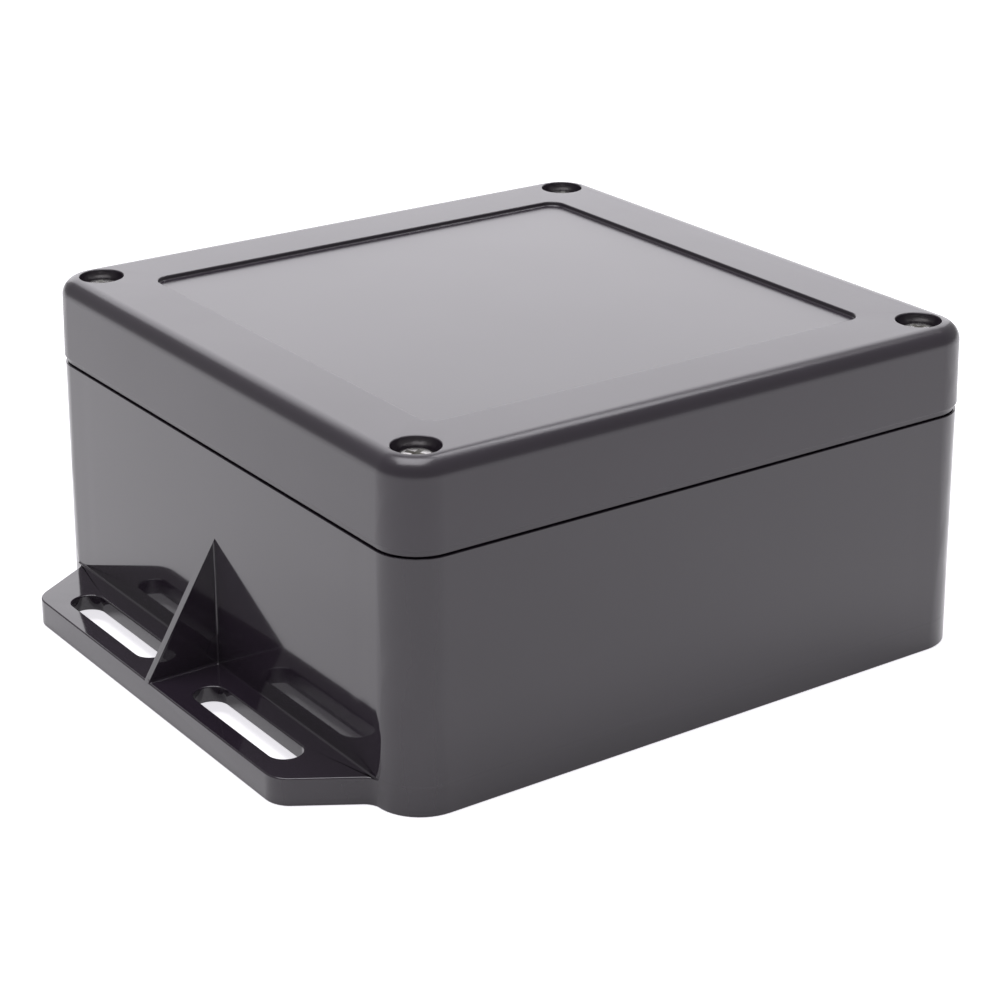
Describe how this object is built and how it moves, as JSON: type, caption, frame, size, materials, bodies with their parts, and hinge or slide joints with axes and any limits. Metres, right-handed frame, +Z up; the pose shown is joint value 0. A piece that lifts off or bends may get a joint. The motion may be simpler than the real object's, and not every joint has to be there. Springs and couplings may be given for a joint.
{
  "type": "plastic project box",
  "caption": "Square plastic project box with a screwed lid, a sunk label panel, an inner gasket and slotted mounting flanges.",
  "frame": {"origin": "middle of the underside of the base", "axes": "+X along the sides that carry the flanges, +Y from the front flange to the back flange, +Z up through the lid"},
  "size_m": [0.1204, 0.1472, 0.06],
  "materials": {
    "abs_base": "satin dark grey moulded plastic",
    "abs_lid": "fine textured dark grey moulded plastic",
    "gasket_rubber": "soft black rubber",
    "screw_steel": "bright plated steel",
    "insert_brass": "turned brass"
  },
  "bodies": {
    "base": {"base": "abs_base", "insert_front_left": "insert_brass", "insert_front_right": "insert_brass", "insert_back_left": "insert_brass", "insert_back_right": "insert_brass"},
    "lid": {"lid": "abs_lid", "lid_gasket": "gasket_rubber"},
    "screw_front_left": {"lid_screw_front_left": "screw_steel"},
    "screw_front_right": {"lid_screw_front_right": "screw_steel"},
    "screw_back_left": {"lid_screw_back_left": "screw_steel"},
    "screw_back_right": {"lid_screw_back_right": "screw_steel"}
  },
  "joints": [
    {"name": "lid_lift", "type": "slide", "parent": "base", "child": "lid", "axis": [0, 0, 1], "range_m": [0, 0.06]},
    {"name": "screw_turn_front_left", "type": "hinge", "parent": "lid", "child": "screw_front_left", "pos_m": [-0.0521, -0.0521, 0.0575], "axis": [0, 0, 1], "range_deg": [0, 4800]},
    {"name": "screw_turn_front_right", "type": "hinge", "parent": "lid", "child": "screw_front_right", "pos_m": [0.0521, -0.0521, 0.0575], "axis": [0, 0, 1], "range_deg": [0, 4800]},
    {"name": "screw_turn_back_left", "type": "hinge", "parent": "lid", "child": "screw_back_left", "pos_m": [-0.0521, 0.0521, 0.0575], "axis": [0, 0, 1], "range_deg": [0, 4800]},
    {"name": "screw_turn_back_right", "type": "hinge", "parent": "lid", "child": "screw_back_right", "pos_m": [0.0521, 0.0521, 0.0575], "axis": [0, 0, 1], "range_deg": [0, 4800]}
  ]
}
